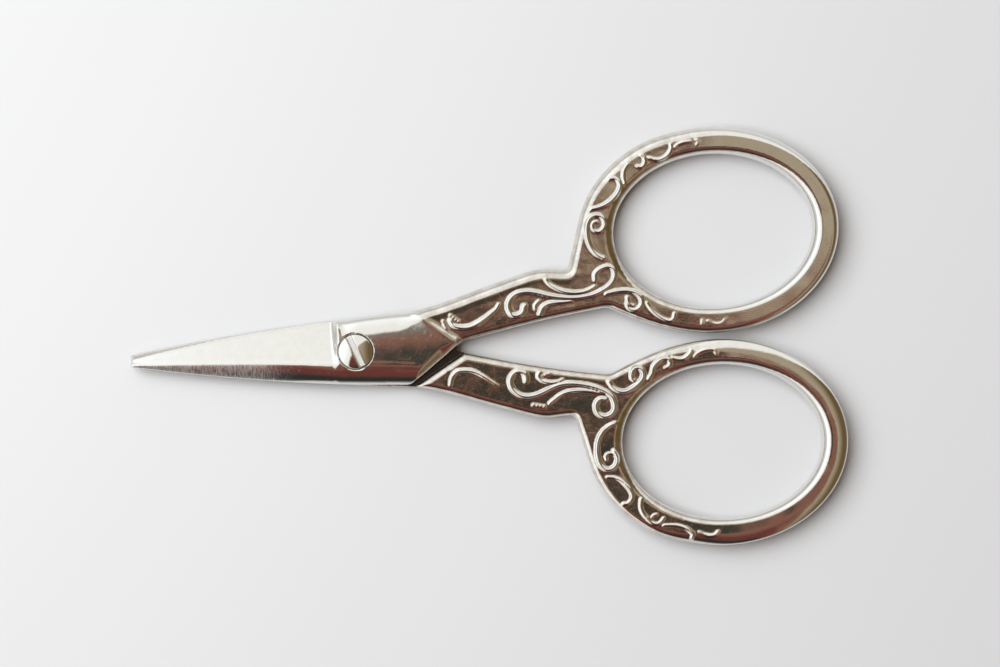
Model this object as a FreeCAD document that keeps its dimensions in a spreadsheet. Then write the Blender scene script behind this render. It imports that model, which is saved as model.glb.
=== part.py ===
import FreeCAD, Part
import math
import os

import Sketcher

# Small embroidery scissors: two crossing halves, each a blade, a half-thick joint block, a
# shank and an oval finger bow in one forging, turning on one slotted pivot screw.
#
# Millimetres. The pivot axis is the Z axis and z = 0 is the plane the scissors lie on. The
# blades point to -X and the bows to +X. The rear half is the front half turned over about
# the X axis, so both are drawn once, about their own middle plane z = 0, front half first:
# its blade and joint block lie above the middle plane and its bow is on the +Y side.

DIMENSIONS = {
    # Thicknesses
    "total_thickness": 3.2,
    "face_gap": 0.03,
    "edge_round": 0.9,
    # Blade: the three long lines of one blade run from x = blade_tip_x to x = block_end_x.
    # Each starts at y = NAME_tip, ends at y = NAME_root and bellies out by NAME_belly / 4.
    "blade_tip_x": -28.0,
    "block_end_x": -2.6,
    "cut_tip": 0.2,
    "cut_root": 3.9,
    "cut_belly": 1.9,
    "ridge_tip": -0.55,
    "ridge_root": -1.5,
    "ridge_belly": 0.55,
    "spine_tip": -0.75,
    "spine_root": -3.95,
    "spine_belly": -1.16,
    "edge_thickness": 0.15,
    "ridge_thickness_tip": 0.55,
    "ridge_thickness_root": 1.35,
    "spine_thickness_tip": 0.4,
    "spine_thickness_root": 0.6,
    # Bow: the outer oval and the finger hole, each with its own centre
    "bow_x": 44.9,
    "bow_y": 13.2,
    "bow_half_length": 15.75,
    "bow_half_width": 12.8,
    "bow_tilt": 1.5,
    "finger_x": 45.0,
    "finger_y": 13.1,
    "finger_half_length": 12.4,
    "finger_half_width": 9.55,
    # Pivot
    "bore_radius": 1.14,
    "journal_radius": 1.1,
    "thread_radius": 0.9,
    "thread_end_depth": 0.05,
    "recess_radius": 2.2,
    "recess_depth": 0.55,
    "head_radius": 2.1,
    "head_clearance": 0.03,
    "head_edge": 0.42,
    "dome_rise": 0.45,
    "slot_width": 0.7,
    "slot_depth": 0.55,
    "slot_angle": -67.0,
}

# Outline of the front half, counter-clockwise. Corners carry their own radius.
BLOCK_LOWER = [(-2.6, -3.95), (0.0, -4.12), (3.5, -4.28)]
BLOCK_CORNER = (6.6, -4.4)
BLOCK_TOE = (13.3, 0.68)
SHANK_LOWER = [(17.0, 1.53), (20.0, 2.2), (27.0, 3.5)]
CROTCH = (31.4, 4.15)
BOW_LOWER = [(34.0, 2.95), (37.5, 1.6)]
BOW_LEFT = [(36.6, 24.3), (32.6, 21.7), (30.0, 18.7), (28.5, 15.4), (27.7, 12.4)]
NOTCH = (26.75, 9.05)
SHANK_UPPER = [(23.4, 9.22), (20.0, 8.45), (15.0, 6.88), (10.0, 5.3)]
SHOULDER_TOP = (7.2, 4.72)
BLOCK_UPPER = [(4.0, 4.5), (0.0, 4.15), (-2.6, 3.9)]

BLOCK_CORNER_RADIUS = 1.3
BLOCK_TOE_RADIUS = 1.0
CROTCH_RADIUS = 1.5
NOTCH_RADIUS = 0.6
BOW_ARC_DEGREES = (-100.0, 100.0)

# Blade sections, as shares of the way from the tip to the joint block. The last one is
# inside the block, so that blade and block share a volume.
BLADE_STATIONS = (0.0, 0.3, 0.65, 1.0, 1.04)

doc = FreeCAD.newDocument("embroidery_scissors")
sheet = doc.addObject("Spreadsheet::Sheet", "dims")


def fill_sheet():
    for row, (name, value) in enumerate(DIMENSIONS.items(), start=1):
        sheet.set(f"A{row}", name)
        sheet.set(f"B{row}", str(value))
        sheet.setAlias(f"B{row}", name)
    doc.recompute()


def size(expression):
    """The number an expression of the sheet's names comes to."""
    return float(sheet.evalExpression(expression))


def dims(name):
    return getattr(sheet, name)


def flat(point):
    return FreeCAD.Vector(point[0], point[1], 0)


# ---------------------------------------------------------------- sketches and features


def new_body(label):
    body = doc.addObject("PartDesign::Body", label)
    body.Label = label
    return body


def new_sketch(body, name, role, lift="0", turn=None):
    """A sketch on one of the body's own origin planes, lifted along the plane's normal."""
    plane = next(f for f in body.Origin.OriginFeatures if f.Role == role)
    sketch = body.newObject("Sketcher::SketchObject", name)
    sketch.AttachmentSupport = [(plane, "")]
    sketch.MapMode = "FlatFace"
    sketch.setExpression("AttachmentOffset.Base.z", lift)
    if turn:
        sketch.setExpression("AttachmentOffset.Rotation.Angle", turn)
    return sketch


def bind(sketch, kind, *places, expression):
    """Adds a sketch constraint whose value follows an expression of the sheet."""
    index = sketch.addConstraint(Sketcher.Constraint(kind, *places, size(expression)))
    sketch.setExpression(f"Constraints[{index}]", expression)


def hold_vertex(sketch, edge, vertex, across, along):
    """Fixes a vertex at (across, along) from the sketch's origin; "0" puts it on an axis."""
    if across == "0":
        sketch.addConstraint(Sketcher.Constraint("PointOnObject", edge, vertex, -2))
    else:
        bind(sketch, "DistanceX", -1, 1, edge, vertex, expression=across)
    if along == "0":
        sketch.addConstraint(Sketcher.Constraint("PointOnObject", edge, vertex, -1))
    else:
        bind(sketch, "DistanceY", -1, 1, edge, vertex, expression=along)


def add_polyline(sketch, corners, closed=True):
    """Straight edges through corners that are given as pairs of sheet expressions."""
    points = [flat((size(across), size(along))) for across, along in corners]
    ends = points[1:] + points[:1] if closed else points[1:]
    for start, end in zip(points, ends):
        sketch.addGeometry(Part.LineSegment(start, end), False)
    count = len(ends)
    for edge in range(1, count):
        sketch.addConstraint(Sketcher.Constraint("Coincident", edge - 1, 2, edge, 1))
    if closed:
        sketch.addConstraint(Sketcher.Constraint("Coincident", count - 1, 2, 0, 1))
    for edge in range(count):
        hold_vertex(sketch, edge, 1, *corners[edge])
    if not closed:
        hold_vertex(sketch, count - 1, 2, *corners[-1])


def add_circle(sketch, radius):
    circle = sketch.addGeometry(Part.Circle(flat((0, 0)), FreeCAD.Vector(0, 0, 1), size(radius)), False)
    sketch.addConstraint(Sketcher.Constraint("Coincident", circle, 3, -1, 1))
    bind(sketch, "Radius", circle, expression=radius)


def add_pad(body, sketch, name, length, downwards=False):
    pad = body.newObject("PartDesign::Pad", name)
    pad.Profile = sketch
    pad.Reversed = downwards
    pad.setExpression("Length", length)
    doc.recompute()
    return pad


def add_pocket(body, sketch, name, depth):
    """A pocket that goes down from its sketch, and has to take something away."""
    before = body.Shape.Volume
    pocket = body.newObject("PartDesign::Pocket", name)
    pocket.Profile = sketch
    pocket.setExpression("Length", depth)
    doc.recompute()
    if body.Shape.Volume > before - 1e-3:
        raise RuntimeError(f"{name} cut nothing")
    return pocket


def round_edges(body, feature, name, radius, wanted):
    """Fillets the feature's edges that the test `wanted` picks."""
    names = [f"Edge{i}" for i, edge in enumerate(feature.Shape.Edges, start=1) if wanted(edge)]
    fillet = body.newObject("PartDesign::Fillet", name)
    fillet.Base = (feature, names)
    fillet.setExpression("Radius", radius)
    doc.recompute()
    return fillet


# ---------------------------------------------------------------- outlines


def smooth_curve(points, first_direction=None, last_direction=None):
    """A spline through the points that leaves and arrives in the given directions."""
    curve = Part.BSplineCurve()
    if first_direction is None or last_direction is None:
        curve.interpolate(Points=[flat(p) for p in points])
    else:
        curve.interpolate(
            Points=[flat(p) for p in points],
            InitialTangent=flat(first_direction),
            FinalTangent=flat(last_direction),
        )
    return curve


def unit(start, end):
    length = math.dist(start, end)
    return ((end[0] - start[0]) / length, (end[1] - start[1]) / length)


def rounded_corner(point, arriving, leaving, radius):
    """An arc in place of a corner: where it starts, the arc, and where it ends."""
    turn = math.atan2(
        arriving[0] * leaving[1] - arriving[1] * leaving[0],
        arriving[0] * leaving[0] + arriving[1] * leaving[1],
    )
    reach = radius * math.tan(abs(turn) / 2)
    start = (point[0] - reach * arriving[0], point[1] - reach * arriving[1])
    end = (point[0] + reach * leaving[0], point[1] + reach * leaving[1])
    inward = unit((arriving[0], arriving[1]), leaving)
    to_middle = radius / math.cos(turn / 2) - radius
    middle = (point[0] + to_middle * inward[0], point[1] + to_middle * inward[1])
    return start, Part.Arc(flat(start), flat(middle), flat(end)), end


def bow_oval():
    tilt = math.radians(dims("bow_tilt"))
    centre = FreeCAD.Vector(dims("bow_x"), dims("bow_y"), 0)
    along = FreeCAD.Vector(math.cos(tilt), math.sin(tilt), 0)
    across = FreeCAD.Vector(-math.sin(tilt), math.cos(tilt), 0)
    return Part.Ellipse(
        centre + along * dims("bow_half_length"), centre + across * dims("bow_half_width"), centre
    )


def finger_oval():
    tilt = math.radians(dims("bow_tilt"))
    centre = FreeCAD.Vector(dims("finger_x"), dims("finger_y"), 0)
    along = FreeCAD.Vector(math.cos(tilt), math.sin(tilt), 0)
    across = FreeCAD.Vector(-math.sin(tilt), math.cos(tilt), 0)
    return Part.Ellipse(
        centre + along * dims("finger_half_length"),
        centre + across * dims("finger_half_width"),
        centre,
    )


def block_toe():
    """The inside corner where the block's slanted end runs into the shank."""
    slope = unit(BLOCK_CORNER, BLOCK_TOE)
    return rounded_corner(BLOCK_TOE, slope, unit(BLOCK_TOE, SHANK_LOWER[0]), BLOCK_TOE_RADIUS)


def handle_edges():
    """The outline of shank and bow, from the lower to the upper end of the joint block."""
    _, _, shoulder_toe = block_toe()
    toe_leaving = unit(BLOCK_TOE, SHANK_LOWER[0])
    crotch_arriving = unit(SHANK_LOWER[-1], CROTCH)
    crotch_leaving = unit(CROTCH, BOW_LOWER[0])
    crotch_start, crotch, crotch_end = rounded_corner(
        CROTCH, crotch_arriving, crotch_leaving, CROTCH_RADIUS
    )
    notch_arriving = unit(BOW_LEFT[-1], NOTCH)
    notch_leaving = (-1.0, 0.0)
    notch_start, notch, notch_end = rounded_corner(
        NOTCH, notch_arriving, notch_leaving, NOTCH_RADIUS
    )
    oval = bow_oval()
    first, last = (math.radians(angle) for angle in BOW_ARC_DEGREES)
    bow = Part.ArcOfEllipse(oval, first, last)
    bow_first = oval.value(first)
    bow_last = oval.value(last)
    bow_arriving = oval.tangent(first)[0]
    bow_leaving = oval.tangent(last)[0]
    lower_shank = smooth_curve(
        [shoulder_toe, *SHANK_LOWER, crotch_start], toe_leaving, crotch_arriving
    )
    lower_bow = smooth_curve(
        [crotch_end, *BOW_LOWER, bow_first[:2]], crotch_leaving, bow_arriving[:2]
    )
    left_bow = smooth_curve([bow_last[:2], *BOW_LEFT, notch_start], bow_leaving[:2], notch_arriving)
    return lower_shank, [crotch, lower_bow, bow, left_bow, notch], notch_end


def half_outlines():
    """The outlines of the half's two layers: with the joint block, and without it."""
    lower_shank, around_bow, notch_end = handle_edges()
    upper_points = [notch_end, *SHANK_UPPER, SHOULDER_TOP, *BLOCK_UPPER]
    upper = smooth_curve(upper_points, (-1.0, 0.0), unit(BLOCK_UPPER[-2], BLOCK_UPPER[-1]))
    block_end = Part.LineSegment(flat(BLOCK_UPPER[-1]), flat(BLOCK_LOWER[0]))
    slope = unit(BLOCK_CORNER, BLOCK_TOE)
    corner_start, corner, corner_end = rounded_corner(
        BLOCK_CORNER, unit(BLOCK_LOWER[-1], BLOCK_CORNER), slope, BLOCK_CORNER_RADIUS
    )
    toe_start, toe, toe_end = block_toe()
    lower_block = smooth_curve([*BLOCK_LOWER, corner_start])
    lower_slope = Part.LineSegment(flat(corner_end), flat(toe_start))
    with_block = [
        lower_block, corner, lower_slope, toe, lower_shank, *around_bow, upper, block_end,
    ]
    shoulder = Part.LineSegment(flat(SHOULDER_TOP), flat(toe_end))
    upper_shank = upper.copy()
    upper_shank.segment(upper.FirstParameter, upper.parameter(flat(SHOULDER_TOP)))
    without_block = [lower_shank, *around_bow, upper_shank, shoulder]
    return with_block, without_block


# ---------------------------------------------------------------- the pieces


def blade_line(name, share):
    """The y of one long line of the blade, as an expression, at a share of its length."""
    return (
        f"dims.{name}_tip + (dims.{name}_root - dims.{name}_tip) * {share}"
        f" + dims.{name}_belly * {share * (1 - share):.6f}"
    )


def between(name, share):
    return f"dims.{name}_tip + (dims.{name}_root - dims.{name}_tip) * {share}"


def add_blade(body):
    """A loft of five-sided sections: cutting edge, bevel, ridge, slope and spine."""
    inner = "dims.face_gap / 2"
    sections = []
    for number, share in enumerate(BLADE_STATIONS):
        distance = f"dims.blade_tip_x + (dims.block_end_x - dims.blade_tip_x) * {share}"
        sketch = new_sketch(body, f"blade_section_{number}", "YZ_Plane", lift=distance)
        cut = blade_line("cut", share)
        ridge = blade_line("ridge", share)
        spine = blade_line("spine", share)
        ridge_top = f"{inner} + {between('ridge_thickness', share)}"
        spine_top = f"{inner} + {between('spine_thickness', share)}"
        add_polyline(
            sketch,
            [
                (spine, inner),
                (cut, inner),
                (cut, f"{inner} + dims.edge_thickness"),
                (ridge, ridge_top),
                (spine, spine_top),
            ],
        )
        sections.append(sketch)
    doc.recompute()
    blade = body.newObject("PartDesign::AdditiveLoft", "blade")
    blade.Profile = sections[0]
    blade.Sections = sections[1:]
    doc.recompute()
    return blade


def lies_at(edge, height):
    return all(abs(vertex.Z - height) < 1e-6 for vertex in edge.Vertexes)


def joins(edge, start, end):
    """Whether an edge runs between two outline points."""
    ends = [(vertex.X, vertex.Y) for vertex in edge.Vertexes]
    return len(ends) == 2 and all(min(math.dist(e, p) for e in ends) < 1e-4 for p in (start, end))


def make_half(label):
    """One half about its own middle plane, without its hole for the screw."""
    body = new_body(label)
    with_block, without_block = half_outlines()

    upper_sketch = new_sketch(body, f"{label}_upper_outline", "XY_Plane", lift="dims.face_gap / 2")
    upper_sketch.addGeometry([*with_block, finger_oval()], False)
    doc.recompute()
    upper = add_pad(
        body, upper_sketch, f"{label}_upper_layer", "(dims.total_thickness - dims.face_gap) / 2"
    )
    top = size("dims.total_thickness / 2")
    round_edges(
        body, upper, f"{label}_upper_rounding", "dims.edge_round",
        lambda edge: lies_at(edge, top) and not joins(edge, BLOCK_UPPER[-1], BLOCK_LOWER[0]),
    )

    lower_sketch = new_sketch(body, f"{label}_lower_outline", "XY_Plane", lift="dims.face_gap / 2")
    lower_sketch.addGeometry([*without_block, finger_oval()], False)
    doc.recompute()
    lower = add_pad(
        body, lower_sketch, f"{label}_lower_layer",
        "(dims.total_thickness + dims.face_gap) / 2", downwards=True,
    )
    round_edges(
        body, lower, f"{label}_lower_rounding", "dims.edge_round",
        lambda edge: lies_at(edge, -top) and not joins(edge, SHOULDER_TOP, block_toe()[2]),
    )
    add_blade(body)
    return body


def make_front_half():
    """The half with the running bore and the round recess for the screw's head."""
    body = make_half("front_half")
    bore = new_sketch(body, "bore_circle", "XY_Plane", lift="dims.total_thickness / 2")
    add_circle(bore, "dims.bore_radius")
    add_pocket(body, bore, "bore", "dims.total_thickness")
    recess = new_sketch(body, "recess_circle", "XY_Plane", lift="dims.total_thickness / 2")
    add_circle(recess, "dims.recess_radius")
    add_pocket(body, recess, "head_recess", "dims.recess_depth")
    body.setExpression("Placement.Base.z", "dims.total_thickness / 2")
    return body


def make_rear_half():
    """The half turned over under the front one, with the hole the screw is threaded into."""
    body = make_half("rear_half")
    hole = new_sketch(body, "thread_circle", "XY_Plane", lift="dims.total_thickness / 2")
    add_circle(hole, "dims.thread_radius")
    add_pocket(body, hole, "threaded_hole", "dims.total_thickness")
    body.Placement.Rotation = FreeCAD.Rotation(FreeCAD.Vector(1, 0, 0), 180)
    body.setExpression("Placement.Base.z", "dims.total_thickness / 2")
    return body


def make_pivot_screw():
    """A turned screw: threaded end, plain journal, flat-bottomed domed head with a slot."""
    body = new_body("pivot_screw")
    thread = "dims.thread_radius"
    journal = "dims.journal_radius"
    head = "dims.head_radius"
    end = "dims.thread_end_depth"
    shoulder = "(dims.total_thickness - dims.face_gap) / 2"
    under_head = "dims.total_thickness - dims.recess_depth + dims.head_clearance"
    head_edge = f"{under_head} + dims.head_edge"
    crown = f"{head_edge} + dims.dome_rise"
    profile = new_sketch(body, "screw_profile", "XZ_Plane")
    add_polyline(
        profile,
        [
            ("0", crown), ("0", end), (thread, end), (thread, shoulder), (journal, shoulder),
            (journal, under_head), (head, under_head), (head, head_edge),
        ],
        closed=False,
    )
    radius = size(f"({head} * {head} + dims.dome_rise * dims.dome_rise) / (2 * dims.dome_rise)")
    rise = math.asin(size(head) / radius) / 2
    middle = (radius * math.sin(rise), size(crown) - radius * (1 - math.cos(rise)))
    dome = profile.addGeometry(
        Part.Arc(flat((size(head), size(head_edge))), flat(middle), flat((0, size(crown)))), False
    )
    straight_edges = dome
    profile.addConstraint(Sketcher.Constraint("Coincident", dome, 1, straight_edges - 1, 2))
    profile.addConstraint(Sketcher.Constraint("Coincident", dome, 2, 0, 1))
    profile.addConstraint(Sketcher.Constraint("PointOnObject", dome, 3, -2))
    doc.recompute()
    turned = body.newObject("PartDesign::Revolution", "turned_screw")
    turned.Profile = profile
    turned.ReferenceAxis = (profile, ["V_Axis"])
    turned.Angle = 360
    doc.recompute()

    slot_lift = crown
    slot = new_sketch(body, "slot_outline", "XY_Plane", lift=slot_lift, turn="dims.slot_angle")
    reach = f"{head} * 1.2"
    half_width = "dims.slot_width / 2"
    add_polyline(
        slot,
        [
            (f"-{reach}", f"-{half_width}"), (reach, f"-{half_width}"),
            (reach, half_width), (f"-{reach}", half_width),
        ],
    )
    add_pocket(body, slot, "screwdriver_slot", "dims.slot_depth + dims.dome_rise / 2")
    return body


def check_document():
    for item in doc.Objects:
        if "Invalid" in item.State or "Error" in item.State:
            raise RuntimeError(f"{item.Label} failed: {item.State}")


def write_parts(bodies):
    os.makedirs("parts", exist_ok=True)
    for body in bodies:
        shape = body.Shape
        if shape.isNull() or not shape.isValid() or len(shape.Solids) != 1:
            raise RuntimeError(f"{body.Label} is not one valid solid")
    for body in bodies:
        body.Shape.exportStep(f"parts/{body.Label}.step")
        box = body.Shape.BoundBox
        print(
            f"{body.Label}: {body.Shape.Volume:.1f} mm3,"
            f" x {box.XMin:.2f}..{box.XMax:.2f}, y {box.YMin:.2f}..{box.YMax:.2f},"
            f" z {box.ZMin:.2f}..{box.ZMax:.2f}"
        )


fill_sheet()
pieces = [make_front_half(), make_rear_half(), make_pivot_screw()]
doc.recompute()
check_document()
write_parts(pieces)
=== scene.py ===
import math

import bmesh
import bpy
import numpy as np
from mathutils import Euler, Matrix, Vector


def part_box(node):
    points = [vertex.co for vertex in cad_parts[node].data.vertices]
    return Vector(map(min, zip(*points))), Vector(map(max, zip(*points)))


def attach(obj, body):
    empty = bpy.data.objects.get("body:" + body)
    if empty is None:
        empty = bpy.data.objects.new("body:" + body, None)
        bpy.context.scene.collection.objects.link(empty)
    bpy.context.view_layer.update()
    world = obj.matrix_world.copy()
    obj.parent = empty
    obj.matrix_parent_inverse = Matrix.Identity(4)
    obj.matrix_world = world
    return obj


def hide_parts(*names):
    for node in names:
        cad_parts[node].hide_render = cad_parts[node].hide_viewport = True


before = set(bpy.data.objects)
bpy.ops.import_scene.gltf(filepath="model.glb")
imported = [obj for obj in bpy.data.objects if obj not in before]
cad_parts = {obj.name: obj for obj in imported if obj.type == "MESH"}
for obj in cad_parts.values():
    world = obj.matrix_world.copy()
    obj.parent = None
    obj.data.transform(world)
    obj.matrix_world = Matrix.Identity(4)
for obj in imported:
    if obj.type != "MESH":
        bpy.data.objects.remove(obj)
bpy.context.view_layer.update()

# Embroidery scissors. The two halves are one casting, so one shape is sculpted in
# millimetres about the halves' common middle plane, as it lies in the front half, and the rear
# half is the same shape turned over about the X axis. Outlines and heights come from the CAD
# nodes; the lines of the ornament and the roundings are given here, in the same row frame.

MM = 0.001
MIDDLE = (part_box("rear_half")[0].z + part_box("front_half")[1].z) / 2 / MM
HALF_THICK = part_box("front_half")[1].z / MM - MIDDLE
FACE_GAP = 0.03
INNER_FACE = FACE_GAP / 2
# The crests of the ornament underneath are worn flat, this far above the table
REST_HEIGHT = 0.002

# The blade: its three long lines, as (y at the tip, y at the root, belly), and its thicknesses.
# All are as in the CAD model, apart from the ridge, 0.17 mm thicker at the root, and the spine.
BLADE_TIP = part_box("front_half")[0].x / MM
BLADE_ROOT = -2.6
CUTTING_EDGE = (0.2, 3.9, 1.9)
RIDGE = (-0.55, -1.5, 0.55)
SPINE = (-0.75, -3.95, -1.16)
EDGE_THICKNESS = 0.15
RIDGE_THICKNESS = 0.55
RIDGE_THICKENING = 0.97
SPINE_THICKNESS = 0.38
# Within this band beside the ridge, the bevel curves up to it by the lift
RIDGE_BAND = 0.6
RIDGE_LIFT = 0.07

# The joint and its screw, as in the CAD model, apart from the head, 0.05 mm wider so that it
# nearly closes its recess, and the slot, 0.05 mm deeper. The skew is the slant of the slot's
# floor, in millimetres per millimetre across it.
BORE_RADIUS = 1.14
THREAD_RADIUS = 0.9
THREAD_END_DEPTH = 0.05
THREAD_TOP = 1.0
JOURNAL_RADIUS = 1.1
RECESS_RADIUS = 2.2
RECESS_DEPTH = 0.55
HEAD_RADIUS = 2.15
HEAD_CLEARANCE = 0.03
HEAD_EDGE = 0.42
HEAD_ROUNDING = 0.12
DOME_RISE = 0.45
SLOT_WIDTH = 0.7
SLOT_DEPTH = 0.6
SLOT_DEGREES = -67.0
SLOT_SKEW = 0.09
SLOT_ROUNDING = 0.13

# The rounding along the joint block's lower edge: how far in it reaches, and how far down
BLOCK_REACH = 2.35
BLOCK_FALL = 1.12

# Heights of the outer faces before the unevenness: how far the plain ones lie under the CAD's,
# how far a crest may rise over the CAD's, and how deep the ground between the strokes is sunk
FACE_DROP = 0.02
CREST_LIMIT = 0.02
FIELD_DEPTH = 0.17
# How far the handle's lower layer rises into the upper one, to be one solid with it
LAYER_OVERLAP = 0.5

# Steps along the outlines and strokes, over the plan and of the mesh. Depths inside an outline
# are measured as far in as the band.
OUTLINE_STEP = 0.12
OUTLINE_CORNER = 35
STROKE_STEP = 0.08
FIELD_STEP = 0.05
FIELD_MARGIN = 0.6
BAND = 3.0
MESH_STEP = 0.157
SCREW_STEP = 0.07


# ------------------------------------------------------------------ curves and outlines


def section_loops(node, height):
    """The closed outlines of a CAD node's section at a height in millimetres, as arrays."""
    work = bmesh.new()
    work.from_mesh(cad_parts[node].data)
    bmesh.ops.remove_doubles(work, verts=work.verts, dist=1e-7)
    cut = bmesh.ops.bisect_plane(
        work,
        geom=[*work.verts, *work.edges, *work.faces],
        plane_co=(0, 0, height * MM),
        plane_no=(0, 0, 1),
    )["geom_cut"]
    # A dict, because a set of edges would give them in another order in each run
    edges = dict.fromkeys(edge for edge in cut if isinstance(edge, bmesh.types.BMEdge))
    loops = []
    while edges:
        edge, _ = edges.popitem()
        first, here = edge.verts
        points = [first.co.copy()]
        while here is not first:
            points.append(here.co.copy())
            edge = next((e for e in here.link_edges if e in edges), None)
            if edge is None:
                break
            del edges[edge]
            here = edge.other_vert(here)
        loops.append(np.array([(p.x, p.y) for p in points]) / MM)
    work.free()
    return loops


def spline(points, step, closed=False, corner_degrees=180.0):
    """Points every step along a smooth curve through the given ones; sharp corners stay."""
    points = np.asarray(points, float)
    if closed:
        gap = np.linalg.norm(points - np.roll(points, 1, axis=0), axis=1)
        points = points[gap > 0.02]
        before = np.roll(points, 1, axis=0)
        after = np.roll(points, -1, axis=0)
    else:
        before = np.vstack([2 * points[0] - points[1], points[:-1]])
        after = np.vstack([points[1:], 2 * points[-1] - points[-2]])
    back = points - before
    ahead = after - points
    back_length = np.linalg.norm(back, axis=1, keepdims=True)
    ahead_length = np.linalg.norm(ahead, axis=1, keepdims=True)
    back_unit = back / back_length
    ahead_unit = ahead / ahead_length
    tangent = back_unit * ahead_length + ahead_unit * back_length
    tangent /= np.maximum(np.linalg.norm(tangent, axis=1, keepdims=True), 1e-9)
    turn = np.degrees(np.arccos(np.clip((back_unit * ahead_unit).sum(axis=1), -1, 1)))
    corner = (turn > corner_degrees)[:, None]
    leaving = np.where(corner, ahead_unit, tangent)
    arriving = np.where(corner, back_unit, tangent)
    out = []
    for i in range(len(points) if closed else len(points) - 1):
        j = (i + 1) % len(points)
        length = ahead_length[i, 0]
        t = np.linspace(0, 1, max(1, math.ceil(length / step)), endpoint=False)[:, None]
        out.append(
            (1 + 2 * t) * (1 - t) ** 2 * points[i]
            + t * (1 - t) ** 2 * length * leaving[i]
            + t * t * (3 - 2 * t) * points[j]
            - t * t * (1 - t) * length * arriving[j]
        )
    if not closed:
        out.append(points[-1:])
    return np.vstack(out)


# ------------------------------------------------------------------ fields over the plan

half_low, half_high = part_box("front_half")
plan_x = np.arange(half_low.x / MM - FIELD_MARGIN, half_high.x / MM + FIELD_MARGIN, FIELD_STEP)
plan_y = np.arange(half_low.y / MM - FIELD_MARGIN, half_high.y / MM + FIELD_MARGIN, FIELD_STEP)
X, Y = np.meshgrid(plan_x, plan_y, indexing="ij")


def smoothstep(low, high, value):
    """0 at low, 1 at high and a smooth rise between; low may be the larger."""
    t = np.clip((value - low) / (high - low), 0, 1)
    return t * t * (3 - 2 * t)


def window(start, end, reach):
    """The part of the plan within reach of a segment, as a pair of slices."""
    low = np.minimum(start, end) - reach
    high = np.maximum(start, end) + reach
    i0, i1 = np.searchsorted(plan_x, (low[0], high[0]))
    j0, j1 = np.searchsorted(plan_y, (low[1], high[1]))
    return slice(i0, i1), slice(j0, j1)


def segment_distance(place, start, end):
    """Distance to a segment over a window of the plan, and the share along the segment."""
    x, y = X[place], Y[place]
    along = end - start
    share = ((x - start[0]) * along[0] + (y - start[1]) * along[1]) / max(along @ along, 1e-12)
    share = np.clip(share, 0, 1)
    return np.hypot(x - start[0] - share * along[0], y - start[1] - share * along[1]), share


def inside_loops(loops):
    """True at the places of the plan that lie inside an odd number of the outlines."""
    inside = np.zeros(X.shape, bool)
    for loop in loops:
        for start, end in zip(loop, np.roll(loop, -1, axis=0)):
            low, high = (start, end) if start[0] <= end[0] else (end, start)
            for i in range(*np.searchsorted(plan_x, (low[0], high[0]))):
                share = (plan_x[i] - low[0]) / (high[0] - low[0])
                crossing = low[1] + share * (high[1] - low[1])
                inside[i, np.searchsorted(plan_y, crossing):] ^= True
    return inside


def depth_inside(loops):
    """Distance inwards from outlines, negative outside, and never beyond the band."""
    distance = np.full(X.shape, BAND)
    for loop in loops:
        for start, end in zip(loop, np.roll(loop, -1, axis=0)):
            place = window(start, end, BAND)
            near, _ = segment_distance(place, start, end)
            np.minimum(distance[place], near, out=distance[place])
    return np.where(inside_loops(loops), distance, -distance)


def value_noise(x, y, scale, seed):
    """Smooth noise from -1 to 1 whose bumps are about scale across."""
    random = np.random.default_rng(seed)
    lattice = random.uniform(-1, 1, (64, 64))
    u, v = x / scale, y / scale
    i, j = np.floor(u).astype(int), np.floor(v).astype(int)
    fu, fv = u - i, v - j
    fu, fv = fu * fu * (3 - 2 * fu), fv * fv * (3 - 2 * fv)
    i0, i1, j0, j1 = i % 64, (i + 1) % 64, j % 64, (j + 1) % 64
    low = lattice[i0, j0] * (1 - fu) + lattice[i1, j0] * fu
    high = lattice[i0, j1] * (1 - fu) + lattice[i1, j1] * fu
    return low * (1 - fv) + high * fv


# ------------------------------------------------------------------ ornament

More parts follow.
